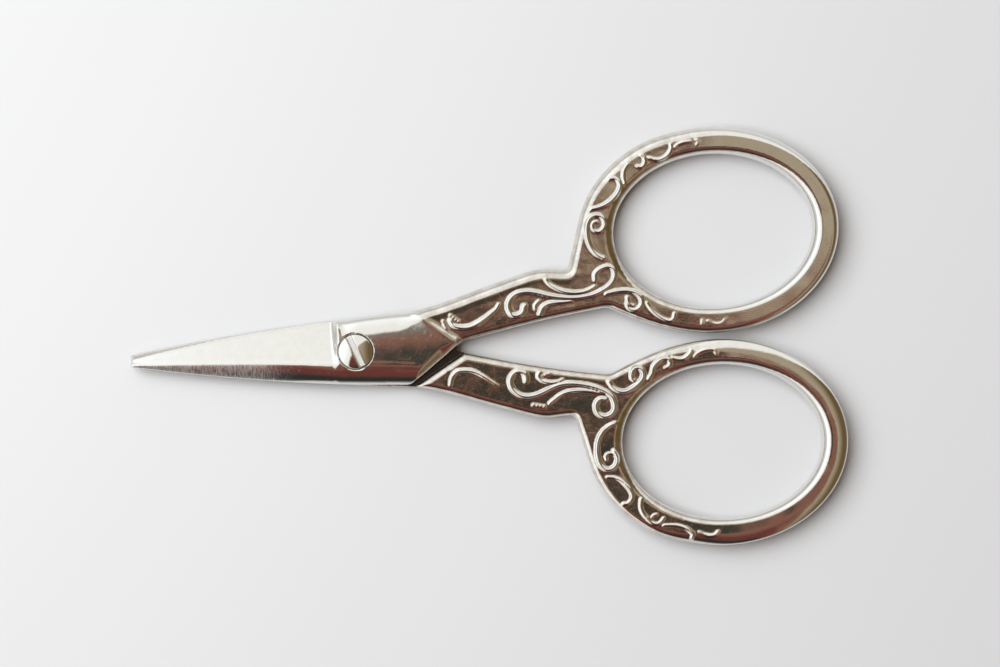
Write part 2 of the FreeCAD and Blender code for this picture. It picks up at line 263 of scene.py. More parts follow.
# Each stroke is (points along its crest, half-widths at its start, middle and end). Points are
# in the front half's plan; the second set is the casting's other face, seen through it.
TOP_STROKES = [
    # leaf beside the joint, with the small ridges in it
    ([(11.9, 3.35), (12.3, 2.7), (13.1, 2.42), (14.2, 2.4), (15.1, 2.7), (16.0, 3.25), (17.0, 4.0),
      (17.7, 4.6), (18.0, 5.1)], (0.3, 0.5, 0.16)),
    ([(11.0, 3.35), (11.2, 2.75), (11.7, 2.15)], (0.12, 0.18, 0.12)),
    # long S-scroll
    ([(21.15, 4.7), (20.95, 4.0), (20.3, 3.6), (19.7, 3.65), (19.3, 4.2), (19.15, 4.9), (19.4, 5.6),
      (19.9, 6.1), (20.6, 6.4), (21.6, 6.5), (22.8, 6.3), (24.0, 5.95), (25.2, 5.7), (26.4, 5.55),
      (27.6, 5.5), (28.8, 5.6), (30.0, 5.85), (31.0, 6.3), (31.9, 6.9), (32.4, 7.6), (32.55, 8.3),
      (32.3, 8.95), (31.7, 9.2), (31.1, 9.05), (30.5, 8.75), (30.1, 8.25), (30.1, 7.6)],
     (0.42, 0.34, 0.3)),
    # C-strokes above and below it
    ([(23.9, 8.0), (24.3, 7.4), (25.0, 6.85), (25.9, 6.4), (26.9, 6.17), (28.0, 6.12), (29.0, 6.3),
      (30.0, 6.8)], (0.2, 0.36, 0.2)),
    ([(23.1, 3.75), (23.4, 4.4), (24.0, 4.8), (25.0, 5.0), (26.2, 5.05), (27.2, 5.15)],
     (0.42, 0.34, 0.15)),
    ([(23.0, 5.3), (22.5, 4.75), (22.55, 4.1)], (0.12, 0.18, 0.12)),
    # lower side of the bow
    ([(31.4, 5.85), (32.2, 6.0), (33.2, 6.12), (34.2, 6.08), (35.1, 5.75), (35.65, 5.15),
      (35.75, 4.45), (35.35, 3.85), (34.7, 3.65), (34.1, 3.9), (33.85, 4.5)], (0.3, 0.34, 0.2)),
    ([(34.0, 5.25), (34.05, 4.75), (34.35, 4.35), (34.8, 4.15)], (0.24, 0.26, 0.15)),
    ([(36.35, 4.5), (36.8, 3.8), (37.4, 3.1), (38.1, 2.55), (38.8, 2.2), (39.3, 2.15), (39.65, 2.5),
      (39.75, 3.0)], (0.22, 0.24, 0.2)),
    ([(43.2, 1.55), (43.15, 2.05)], (0.18, 0.2, 0.15)),
    ([(43.8, 1.95), (44.4, 1.6), (45.1, 1.45), (45.7, 1.65), (46.05, 2.1)], (0.14, 0.22, 0.16)),
    # upper side of the bow
    ([(31.3, 10.2), (30.45, 10.7), (29.75, 11.6), (29.4, 12.6), (29.3, 13.7), (29.45, 14.7),
      (29.95, 15.4), (30.7, 15.6), (31.35, 15.25), (31.6, 14.55), (31.35, 13.9), (30.75, 13.55),
      (30.2, 13.8), (30.0, 14.35), (30.3, 14.8), (30.7, 14.75)], (0.28, 0.36, 0.16)),
    ([(30.0, 16.4), (31.0, 16.6), (32.0, 17.0), (32.9, 17.7), (33.5, 18.5), (33.7, 19.2),
      (33.45, 19.8), (32.95, 20.1), (32.4, 20.05)], (0.25, 0.4, 0.2)),
    ([(34.3, 19.4), (34.15, 20.3), (34.3, 21.1), (34.8, 21.8)], (0.22, 0.28, 0.18)),
    ([(36.4, 22.9), (36.85, 22.4), (36.85, 21.8), (36.4, 21.35), (35.85, 21.5)],
     (0.2, 0.28, 0.18)),
    ([(37.3, 22.5), (37.9, 22.28), (38.7, 22.15), (39.4, 22.4), (40.0, 23.0), (40.25, 23.6),
      (40.2, 24.05)], (0.16, 0.3, 0.2)),
    ([(40.6, 23.55), (41.1, 23.95), (41.9, 24.2), (42.8, 24.25)], (0.16, 0.26, 0.14)),
    ([(43.3, 24.45), (43.65, 24.15), (43.4, 23.8)], (0.15, 0.18, 0.14)),
]

OTHER_STROKES = [
    # leaf beside the joint
    ([(11.6, 4.6), (11.7, 4.0), (12.05, 3.4), (12.6, 3.02), (13.4, 2.95), (14.3, 3.07), (15.1, 3.4),
      (15.9, 3.9), (16.7, 4.45), (17.5, 5.0)], (0.26, 0.36, 0.13)),
    # long S-scroll
    ([(21.0, 4.55), (20.95, 3.9), (20.5, 3.45), (19.9, 3.4), (19.3, 3.8), (19.0, 4.5), (19.1, 5.2),
      (19.6, 5.9), (20.3, 6.35), (21.1, 6.5), (22.0, 6.4), (23.0, 6.05), (24.0, 5.6), (25.0, 5.25),
      (26.0, 5.1), (27.0, 5.15), (28.0, 5.3), (29.0, 5.55), (30.0, 5.9), (30.9, 6.4), (31.5, 7.0),
      (31.8, 7.8), (31.8, 8.5), (31.4, 9.1), (30.7, 9.4), (30.0, 9.2), (29.55, 8.6), (29.5, 7.95),
      (29.8, 7.4), (30.3, 7.2), (30.7, 7.3)], (0.42, 0.34, 0.4)),
    # C-strokes above and below it
    ([(23.8, 7.45), (24.4, 7.0), (25.0, 6.58), (25.8, 6.22), (26.8, 6.06), (28.0, 6.06),
      (29.0, 6.2), (30.0, 6.45), (30.6, 6.58)], (0.26, 0.34, 0.16)),
    ([(22.75, 3.5), (22.5, 4.0), (22.8, 4.5), (23.4, 4.8), (24.3, 4.92), (25.0, 4.8), (25.6, 4.55)],
     (0.24, 0.34, 0.14)),
    # lower side of the bow
    ([(31.2, 5.05), (31.7, 5.85), (32.5, 6.35), (33.3, 6.4), (34.2, 6.0), (35.0, 5.4), (35.5, 4.7),
      (35.45, 3.95), (34.95, 3.5), (34.4, 3.65), (34.1, 4.2), (34.1, 4.8), (34.45, 5.15)],
     (0.3, 0.4, 0.28)),
    ([(36.2, 4.9), (36.6, 4.3), (36.8, 3.6), (37.3, 3.0), (37.9, 2.6), (38.5, 2.55), (38.95, 3.0),
      (38.8, 3.5), (38.3, 3.7)], (0.26, 0.36, 0.2)),
    ([(39.2, 2.45), (39.8, 2.65), (40.6, 2.65), (41.2, 2.3), (41.6, 1.8), (41.6, 1.4)],
     (0.18, 0.32, 0.18)),
    ([(42.0, 2.45), (42.5, 2.0), (43.1, 1.72), (43.8, 1.6), (44.4, 1.68), (44.75, 2.2)],
     (0.18, 0.26, 0.24)),
    # upper side of the bow
    ([(31.8, 10.25), (30.7, 10.8), (29.85, 11.75), (29.45, 13.0), (29.45, 14.3), (29.8, 15.4),
      (30.55, 16.0), (31.35, 15.8), (31.85, 15.1), (31.85, 14.3), (31.5, 13.7)],
     (0.28, 0.4, 0.34)),
    ([(31.35, 14.05), (30.8, 14.0), (30.45, 14.35), (30.55, 14.8)], (0.16, 0.22, 0.14)),
    ([(30.5, 16.9), (31.3, 17.0), (32.0, 17.3), (32.7, 17.9), (33.3, 18.7), (33.5, 19.5),
      (33.2, 20.1), (32.75, 20.35), (32.4, 20.3)], (0.16, 0.34, 0.24)),
    ([(34.6, 19.85), (34.5, 20.7), (34.75, 21.6), (35.3, 22.3), (35.9, 22.85), (36.4, 23.0),
      (36.9, 22.8), (37.3, 22.3)], (0.26, 0.28, 0.2)),
    ([(35.85, 22.15), (36.1, 21.9), (36.5, 21.8)], (0.14, 0.18, 0.12)),
    ([(37.25, 23.2), (38.1, 23.2), (39.0, 23.3), (39.8, 23.6), (40.5, 24.1), (40.85, 24.6),
      (40.7, 24.95)], (0.16, 0.24, 0.3)),
    ([(41.6, 24.2), (42.3, 24.6), (43.1, 24.75), (43.7, 24.6), (43.95, 24.3)], (0.14, 0.28, 0.26)),
]

# Rows of small beads: (first bead, last bead, number, radius)
TOP_BEADS = [((12.0, 3.95), (12.95, 3.2), 4, 0.2)]
OTHER_BEADS = [((21.8, 7.6), (23.1, 7.85), 4, 0.27), ((23.0, 4.1), (23.9, 3.75), 3, 0.22)]

STROKE_HEIGHT = 0.22
BEAD_HEIGHT = 0.09
CREST_WIDENING = 0.95
CREST_SOFTNESS = 0.22
FOOT_CURVE = 0.202
# A stroke with at least this half-width has the full height, and no stroke a smaller share
FULL_HALF_WIDTH = 0.34
LOWEST_SHARE = 0.55


def sharp_crest(share):
    """A stroke's cross-section: nearly straight flanks, a narrow crest and a soft foot."""
    share = np.clip(share, 0, 1)
    flank = 1 - np.hypot(share, CREST_SOFTNESS) + CREST_SOFTNESS
    return (flank - FOOT_CURVE * share**3) * (1 - share**4)


def stroke_relief(strokes, beads):
    """Height of the raised strokes and beads over the plan."""
    relief = np.zeros(X.shape)
    for points, widths in strokes:
        line = spline(points, STROKE_STEP)
        reach = np.interp(np.linspace(0, 1, len(line)), (0, 0.5, 1), widths) * CREST_WIDENING
        for n in range(len(line) - 1):
            place = window(line[n], line[n + 1], reach.max())
            near, share = segment_distance(place, line[n], line[n + 1])
            half_width = reach[n] + (reach[n + 1] - reach[n]) * share
            swell = sharp_crest(near / half_width)
            height = STROKE_HEIGHT * swell
            height = height * np.clip(half_width / FULL_HALF_WIDTH, LOWEST_SHARE, 1)
            np.maximum(relief[place], height, out=relief[place])
    for first, last, number, radius in beads:
        for centre in np.linspace(first, last, number):
            place = window(centre, centre, radius)
            near, _ = segment_distance(place, centre, centre)
            height = BEAD_HEIGHT * np.clip(1 - (near / radius) ** 2, 0, None)
            np.maximum(relief[place], height, out=relief[place])
    return relief


# ------------------------------------------------------------------ the shape of one half

upper_loops = section_loops("front_half", MIDDLE + INNER_FACE + EDGE_THICKNESS / 2)
lower_loops = section_loops("front_half", MIDDLE - HALF_THICK / 4)
upper_loops.sort(key=lambda loop: -np.ptp(loop[:, 0]))
lower_loops.sort(key=lambda loop: -np.ptp(loop[:, 0]))
finger_loop = spline(upper_loops[1], OUTLINE_STEP, closed=True)
upper_loop = spline(upper_loops[0], OUTLINE_STEP, closed=True, corner_degrees=OUTLINE_CORNER)
lower_loop = spline(lower_loops[0], OUTLINE_STEP, closed=True, corner_degrees=OUTLINE_CORNER)

upper_depth = depth_inside([upper_loop])
lower_depth = depth_inside([lower_loop])
finger_depth = -depth_inside([finger_loop])

# Unit normals that point out of the metal, at the outline and into the finger hole
outward_x, outward_y = (-g for g in np.gradient(upper_depth, FIELD_STEP))
inward_x, inward_y = (-g for g in np.gradient(finger_depth, FIELD_STEP))


def blade_line(tip, root, belly):
    """The y of a long line of the blade, from its tip to its root."""
    share = np.clip((X - BLADE_TIP) / (BLADE_ROOT - BLADE_TIP), 0, 1.1)
    return tip + (root - tip) * share + belly * share * (1 - share), share


def blade_height():
    """Top of the blade: a hollow bevel from the cutting edge up to a flat line, the ridge.
    Beyond the ridge the blade's rounding takes over. Also gives that rounding's reach and fall,
    and whether a place is beyond the ridge, from 0 to 1."""
    cut, share = blade_line(*CUTTING_EDGE)
    ridge, _ = blade_line(*RIDGE)
    spine, _ = blade_line(*SPINE)
    ridge_top = RIDGE_THICKNESS + RIDGE_THICKENING * share
    near_ridge = np.clip(RIDGE_BAND - (Y - ridge), 0, RIDGE_BAND)
    bevel = EDGE_THICKNESS + (ridge_top - EDGE_THICKNESS) * (cut - Y) / (cut - ridge)
    bevel = bevel - RIDGE_LIFT * (1 - (near_ridge / RIDGE_BAND) ** 2)
    bevel = np.maximum(bevel, EDGE_THICKNESS)
    blend = 0.05
    top = (bevel + ridge_top - np.sqrt((bevel - ridge_top) ** 2 + blend**2)) / 2
    below_ridge = smoothstep(0.1, -0.2, Y - ridge)
    return INNER_FACE + top, ridge - spine, ridge_top - SPINE_THICKNESS, below_ridge


def chevron_side():
    """Distance past the slanted line where the joint block ends and the ornament begins."""
    start, end = np.array((8.6, 3.75)), np.array((12.75, 0.85))
    along = (end - start) / np.linalg.norm(end - start)
    return along[0] * (Y - start[1]) - along[1] * (X - start[0])


def field_mask(past_line):
    """1 in the sunk ground of the ornament, 0 past its line and where the bow turns plain."""
    return smoothstep(-0.4, 0.5, past_line) * (1 - smoothstep(38, 47, X))


def dish(depth, upward):
    """How far the ground rises towards the upper edge, from a millimetre or two inside it."""
    return 0.02 * (1 - smoothstep(1.0, 2.0, depth)) * smoothstep(0.2, 0.7, upward)


def waviness(seed):
    """The hand-ground unevenness of every outer surface."""
    return 0.02 * value_noise(X, Y, 5.5, seed) + 0.009 * value_noise(X, Y, 1.8, seed + 1)


def pits(seed):
    """The fine roughness of the cast ground."""
    return 0.003 * value_noise(X, Y, 0.6, seed) + 0.0015 * value_noise(X, Y, 0.25, seed + 1)


off_hole = smoothstep(0.25, 0.8, finger_depth)
top_field = field_mask(chevron_side())
top_relief = stroke_relief(TOP_STROKES, TOP_BEADS) * off_hole
other_field = field_mask(np.full(X.shape, 9.0))
other_relief = stroke_relief(OTHER_STROKES, OTHER_BEADS) * off_hole


def bump_along(distance, half_width):
    """A rounded ridge's cross-section: 1 on its line, 0 from half_width away."""
    return np.clip(1 - (distance / half_width) ** 2, 0, None) ** 2


block_ridge = np.interp(X[:, 0], (-2.6, 1.4, 5.0, 7.6), (-1.5, -1.65, -1.85, -2.1))[:, None]
along_block = smoothstep(-2.8, -2.2, X) * (1 - smoothstep(7.0, 9.0, X))
block_crest = 0.025 * bump_along(Y - block_ridge, 0.55) * along_block
on_block = (1 - smoothstep(-0.6, 0.0, chevron_side())) * smoothstep(-3, -1, X)
block_crown = 0.02 + 0.011 * (np.maximum(Y, -2.6) - 0.6) ** 2
block_crown += 0.05 * (1 - smoothstep(-3.0, 0.6, X)) * np.maximum(Y + 1.55, 0)
shank = 1 - smoothstep(29, 32, X)
top_lean = 0.002 * np.clip(Y - 3.8 - 0.19 * (X - 13), -2, 2) * shank
other_lean = -0.012 * np.clip(Y - 3.8 - 0.19 * (X - 13), -2, 2) * shank

top_level = HALF_THICK - FACE_DROP - FIELD_DEPTH * top_field
top_level = top_level - on_block * block_crown + block_crest
top_level = top_level + (top_lean + dish(upper_depth, outward_y)) * top_field
handle_top = top_level + top_relief * (0.35 + 0.65 * top_field) + pits(21) * top_field
handle_top = np.minimum(handle_top, HALF_THICK + CREST_LIMIT) + waviness(31)
step_line = -2.75 - 0.02 * (Y + 1.5)
to_block = smoothstep(-0.15, 0.85, X - step_line)
blade_top, blade_reach, blade_fall, below_ridge = blade_height()
upper_top = blade_top * (1 - to_block) + handle_top * to_block
other_level = HALF_THICK - FACE_DROP - FIELD_DEPTH * other_field
other_level = other_level + (other_lean + dish(lower_depth, -outward_y)) * other_field
lower_top = other_level + other_relief * (0.35 + 0.65 * other_field) + pits(41) * other_field
lower_top = np.minimum(lower_top, HALF_THICK + CREST_LIMIT) + waviness(51)

# Roundings: how far each reaches inwards over the plan, and how far down. A power under 2 makes
# one flatter. The toe is the joint block's slanted end, beside the other half's shank.
lit_side = np.clip(-0.7 * outward_x + 0.7 * outward_y, -1, 1)
block_share = 1 - smoothstep(5.0, 9.0, X)
past_blade = smoothstep(-3.0, -1.5, X)
spine_side = outward_y < 0
blade_reach = np.where(spine_side, blade_reach, 0.1)
blade_fall = np.where(spine_side, blade_fall, 0.1)
upper_power = 1.35 + 0.65 * smoothstep(-9, -1.5, X)
toe = smoothstep(0.25, 0.5, outward_x) * (X > 4) * (1 - smoothstep(10.5, 13.5, X))
toe_reach = np.interp(X, (6.0, 8.0, 10.5, 13.0), (0.5, 0.85, 1.1, 0.7))
upper_reach = (1.0 + 0.34 * lit_side) * (1 - block_share) + BLOCK_REACH * block_share
upper_reach = blade_reach * (1 - past_blade) + upper_reach * past_blade
upper_fall = (0.95 + 0.3 * lit_side) * (1 - block_share) + BLOCK_FALL * block_share
upper_fall = blade_fall * (1 - past_blade) + upper_fall * past_blade
upper_reach = upper_reach * (1 - toe) + toe_reach * toe
upper_fall = upper_fall * (1 - toe) + 0.58 * toe_reach * toe
upper_power = upper_power * (1 - toe) + 1.25 * toe
left_rim = smoothstep(0.6, 0.9, -outward_x) * smoothstep(26, 29, X)
upper_reach = upper_reach - 0.28 * left_rim

# The rounding of the block's lower edge carries on straight past the corner at the toe
edge_y = plan_y[np.argmax(upper_depth > 0, axis=1)]
straight_from, straight_to, carried_from = 1.0, 4.0, 3.5
start_y, end_y = np.interp((straight_from, straight_to), plan_x, edge_y)
slant = (end_y - start_y) * (X - straight_from) / (straight_to - straight_from)
block_depth = np.where(X > carried_from, Y - (start_y + slant), BAND)
on_bow = smoothstep(36, 46, X)
lower_reach = (0.78 - 0.05 * outward_y) * (1 - on_bow) + 1.6 * on_bow
lower_fall = 0.95 * lower_reach * (1 - on_bow) + 0.55 * on_bow
shoulder = smoothstep(0.25, 0.6, -outward_x) * (1 - smoothstep(13.2, 14.5, X))
lower_reach = lower_reach * (1 - shoulder) + 1.2 * shoulder
faces_left = np.clip(-inward_x, 0, 1)
faces_right = np.clip(inward_x, 0, 1)
finger_reach = 0.78 + 0.42 * faces_left + 0.24 * faces_right
finger_fall = 1.1 + 0.4 * faces_left - 0.5 * faces_right - 0.1 * inward_y
finger_power = 2 - 0.6 * faces_right

FIELDS = [
    upper_depth, lower_depth, block_depth, finger_depth, upper_top, lower_top,
    upper_reach, upper_fall, upper_power, lower_reach, lower_fall,
    finger_reach, finger_fall, finger_power,
]


def plan_values(x, y):
    """Each field's value at points of the plan."""
    u = np.clip((x - plan_x[0]) / FIELD_STEP, 0, len(plan_x) - 1.001)
    v = np.clip((y - plan_y[0]) / FIELD_STEP, 0, len(plan_y) - 1.001)
    i, j = u.astype(int), v.astype(int)
    fu, fv = u - i, v - j
    return [
        (f[i, j] * (1 - fu) + f[i + 1, j] * fu) * (1 - fv)
        + (f[i, j + 1] * (1 - fu) + f[i + 1, j + 1] * fu) * fv
        for f in FIELDS
    ]


def rounded(depth, below, reach, fall, power=2.0):
    """Positive inside an edge rounded as a quarter ellipse of that reach and fall; a power
    below 2 flattens the ellipse towards a plain bevel."""
    across = np.clip(1 - depth / reach, 0, None)
    down = np.clip(1 - below / fall, 0, None)
    outside = (across**power + down**power) ** (1 / power)
    corner = 1 - outside
    flat = np.minimum(depth / reach, below / fall)
    return np.where((across > 0) & (down > 0), corner, flat) * 0.5 * (reach + fall)


def half_solid(values, x, y, z, front):
    """Positive inside one half, negative outside, in millimetres near its surface."""
    (up_depth, low_depth, edge_depth, hole_depth, up_top, low_top,
     up_reach, up_fall, up_power, low_reach, low_fall,
     hole_reach, hole_fall, hole_power) = values
    upper = rounded(up_depth, up_top - z, up_reach, up_fall, up_power)
    upper = np.minimum(upper, rounded(edge_depth, up_top - z, BLOCK_REACH, BLOCK_FALL))
    hole = rounded(hole_depth, up_top - z, hole_reach, hole_fall, hole_power)
    upper = np.minimum(upper, hole)
    upper = np.minimum(upper, z - INNER_FACE)
    lower = rounded(low_depth, low_top + z, low_reach, low_fall)
    hole = rounded(hole_depth, low_top + z, hole_reach, hole_fall, hole_power)
    lower = np.minimum(lower, hole)
    lower = np.minimum(lower, LAYER_OVERLAP - z)
    solid = np.maximum(upper, lower)
    radius = np.hypot(x, y)
    if front:
        solid = np.minimum(solid, radius - BORE_RADIUS)
        recess = np.maximum(radius - RECESS_RADIUS, HALF_THICK - RECESS_DEPTH - z)
        return np.minimum(solid, recess)
    return np.minimum(solid, radius - THREAD_RADIUS)


# ------------------------------------------------------------------ from field to mesh


def surface_net(inside_value, xs, ys, zs):
    """Quads round the zero surface of a sampled field: vertices and faces."""
    shape = np.array(inside_value.shape) - 1
    cells = shape.prod()
    position = np.zeros((3, cells))
    count = np.zeros(cells)
    axes = (xs, ys, zs)
    quads = []
    for axis in range(3):
        ahead = [slice(None)] * 3
        behind = [slice(None)] * 3
        ahead[axis] = slice(1, None)
        behind[axis] = slice(None, -1)
        first, second = inside_value[tuple(behind)], inside_value[tuple(ahead)]
        place = np.array(np.nonzero((first > 0) != (second > 0)))
        a, b = first[tuple(place)], second[tuple(place)]
        share = a / (a - b)
        point = [axes[k][place[k]] for k in range(3)]
        following = axes[axis][place[axis] + 1]
        point[axis] = point[axis] + share * (following - point[axis])
        one, two = [k for k in range(3) if k != axis]
        around = []
        for step_one, step_two in ((-1, -1), (0, -1), (0, 0), (-1, 0)):
            cell = place.copy()
            cell[one] += step_one
            cell[two] += step_two
            index = np.ravel_multi_index(np.clip(cell, 0, (shape - 1)[:, None]), shape)
            around.append(index)
            for k in range(3):
                position[k] += np.bincount(index, point[k], cells)
            count += np.bincount(index, minlength=cells)
        quad = np.stack(around, axis=1)
        flip = (a > 0) != (axis == 1)
        quad[~flip] = quad[~flip][:, ::-1]
        quads.append(quad)
    used = np.nonzero(count)[0]
    number = np.full(cells, -1)
    number[used] = np.arange(len(used))
    vertices = (position[:, used] / count[used]).T
    return vertices, number[np.vstack(quads)]


def settle(vertices, faces, solid, rounds, spread):
    """Moves vertices onto the zero surface, and evens out their spacing along it."""
    ends = np.vstack([faces[:, [k, (k + 1) % 4]] for k in range(4)])
    degree = np.bincount(ends[:, 0], minlength=len(vertices))[:, None]
    for turn in range(rounds):
        normal, value = slope_of(solid, vertices)
        steep = np.maximum((normal**2).sum(axis=1), 0.05)
        move = np.clip(value / steep, -spread, spread)[:, None] * normal
        vertices = vertices - np.clip(move, -spread, spread)
        if turn < rounds - 2:
            total = np.stack(
                [np.bincount(ends[:, 0], vertices[ends[:, 1], k], len(vertices)) for k in range(3)],
                axis=1,
            )
            drift = total / degree - vertices
            unit = normal / np.sqrt(steep)[:, None]
            vertices = vertices + 0.5 * (drift - (drift * unit).sum(axis=1, keepdims=True) * unit)
    return vertices


def slope_of(solid, points, step=0.02):
    """The gradient of a field at points, and its value there."""
    value = solid(points)
    slope = np.empty(points.shape)
    for k in range(3):
        shift = np.zeros(3)
        shift[k] = step
        slope[:, k] = (solid(points + shift) - solid(points - shift)) / (2 * step)
    return slope, value


def mesh_piece(name, vertices, faces, material):
    """A smooth-shaded object from vertices in millimetres in the row frame."""
    mesh = bpy.data.meshes.new(name)
    mesh.from_pydata((vertices * MM).tolist(), [], faces.tolist())
    mesh.validate()
    mesh.polygons.foreach_set("use_smooth", [True] * len(mesh.polygons))
    mesh.materials.append(material)
    piece = bpy.data.objects.new(name, mesh)
    bpy.context.scene.collection.objects.link(piece)
    return piece


def build_half(name, front, material):
    """One half of the scissors. Its grid is finer at the joint and where the cutting edge and
    the inner face lie, and coarser along the blade and the plain end of the bow."""
    fine, coarse = MESH_STEP * 0.75, MESH_STEP * 1.3
    joint, plain_bow = 2.7, 46.0
    under_edge, over_edge = -0.2, 0.4
    xs = np.concatenate([
        np.arange(half_low.x / MM - 0.4, -joint, coarse),
        np.arange(-joint, joint, fine),
        np.arange(joint, plain_bow, MESH_STEP),
        np.arange(plain_bow, half_high.x / MM + 0.5, coarse),
    ])
    ys = np.arange(half_low.y / MM - 0.4, half_high.y / MM + 0.5, MESH_STEP)
    zs = np.concatenate([
        np.arange(-HALF_THICK - 0.3, under_edge, MESH_STEP),
        np.arange(under_edge, over_edge, MESH_STEP / 2),
        np.arange(over_edge, HALF_THICK + 0.35, MESH_STEP),
    ])
    x, y = (a.ravel() for a in np.meshgrid(xs, ys, indexing="ij"))
    values = [v[:, None] for v in plan_values(x, y)]
    sampled = half_solid(values, x[:, None], y[:, None], zs[None, :], front)
    sampled = sampled.reshape(len(xs), len(ys), len(zs))
    vertices, faces = surface_net(sampled, xs, ys, zs)

    def solid(points):
        """The same solid as sampled above, at any points."""
        px, py, pz = points.T
        return half_solid(plan_values(px, py), px, py, pz, front)

    vertices = settle(vertices, faces, solid, rounds=7, spread=0.08)
    ground = plan_ground(vertices)
    if not front:
        vertices = vertices * (1, -1, -1)
    vertices = vertices + (0, 0, MIDDLE)
    vertices[:, 2] = np.maximum(vertices[:, 2], REST_HEIGHT)
    piece = mesh_piece(name, vertices, faces, material)
    for attribute, numbers in ground.items():
        layer = piece.data.attributes.new(attribute, "FLOAT", "POINT")
        layer.data.foreach_set("value", numbers.astype(np.float32))
    return piece


# Vertices this near the halves' inner plane belong to a mating face
MATING_BAND = 0.06


def plan_ground(points):
    """What the materials need to know about each vertex, as numbers from 0 to 1: how far it is
    sunk ground, ground blade, mating face, painted shade in the gaps beside the joint and round
    the screw's recess, and the worn crest of a stroke."""
    i = np.clip(((points[:, 0] - plan_x[0]) / FIELD_STEP).astype(int), 0, len(plan_x) - 1)
    j = np.clip(((points[:, 1] - plan_y[0]) / FIELD_STEP).astype(int), 0, len(plan_y) - 1)
    above = points[:, 2] > 0
    field = np.where(above, top_field[i, j], other_field[i, j])
    crest = np.where(above, top_relief[i, j], other_relief[i, j]) / STROKE_HEIGHT
    mating = np.abs(points[:, 2] - INNER_FACE) < MATING_BAND
    # Painted shade: the material darkens the rim round the screw's recess on its right-hand side,
    # and the mating faces beside the joint, where the gaps between the parts lie in shadow
    ring = smoothstep(RECESS_RADIUS + 0.2, RECESS_RADIUS, np.hypot(points[:, 0], points[:, 1]))
    screw_rim_shade = 0.8 * ring * smoothstep(-0.5, 1.5, points[:, 0]) * above
    by_joint = smoothstep(5.0, 7.0, points[:, 0]) * (1 - smoothstep(15.0, 17.0, points[:, 0]))
    return {
        "sunk": field * np.clip(1 - 1.6 * crest, 0, 1),
        "blade": (1 - smoothstep(-13, -5, X[i, j])) * (0.15 + 0.85 * below_ridge[i, j]),
        "mating": mating.astype(float),
        "painted_gap_shade": np.maximum(mating * by_joint, screw_rim_shade),
        "worn": np.clip(2 * crest - 0.7, 0, 1),
    }


def screw_solid(points):
    """The pivot screw: threaded end, journal, domed head with rounded edges, slot."""
    x, y, z = points[..., 0], points[..., 1], points[..., 2]
    radius = np.hypot(x, y)
    under_head = HALF_THICK - RECESS_DEPTH + HEAD_CLEARANCE
    overlap = 0.1
    crown = under_head + HEAD_EDGE + DOME_RISE
    dome = crown - DOME_RISE * (radius / HEAD_RADIUS) ** 2 - z
    head = rounded(HEAD_RADIUS - radius, dome, HEAD_ROUNDING, HEAD_ROUNDING)
    head = np.minimum(head, z - under_head)
    journal = np.minimum(z + INNER_FACE, under_head + overlap - z)
    journal = np.minimum(JOURNAL_RADIUS - radius, journal)
    thread = np.minimum(z + HALF_THICK - THREAD_END_DEPTH, THREAD_TOP - z)
    thread = np.minimum(THREAD_RADIUS - radius, thread)
    solid = np.maximum(head, np.maximum(journal, thread))
    angle = math.radians(SLOT_DEGREES)
    across = -math.sin(angle) * x + math.cos(angle) * y
    slot_floor = crown - SLOT_DEPTH + SLOT_SKEW * across
    slot = np.maximum(np.abs(across) - SLOT_WIDTH / 2, slot_floor - z)
    return rounded(solid, slot, SLOT_ROUNDING, SLOT_ROUNDING)


def build_screw(material):
    """The screw, from a grid with some room round it."""
    reach = HEAD_RADIUS + 0.2
    xs = np.arange(-reach, reach, SCREW_STEP)
    zs = np.arange(-HALF_THICK - 0.2, HALF_THICK + 0.7, SCREW_STEP)
    grid = np.stack(np.meshgrid(xs, xs, zs, indexing="ij"), axis=-1)
    vertices, faces = surface_net(screw_solid(grid), xs, xs, zs)
    vertices = settle(vertices, faces, screw_solid, rounds=6, spread=0.04)
    vertices = vertices + (0, 0, MIDDLE)
    return mesh_piece("slotted_pivot_screw", vertices, faces, material)


# ------------------------------------------------------------------ materials


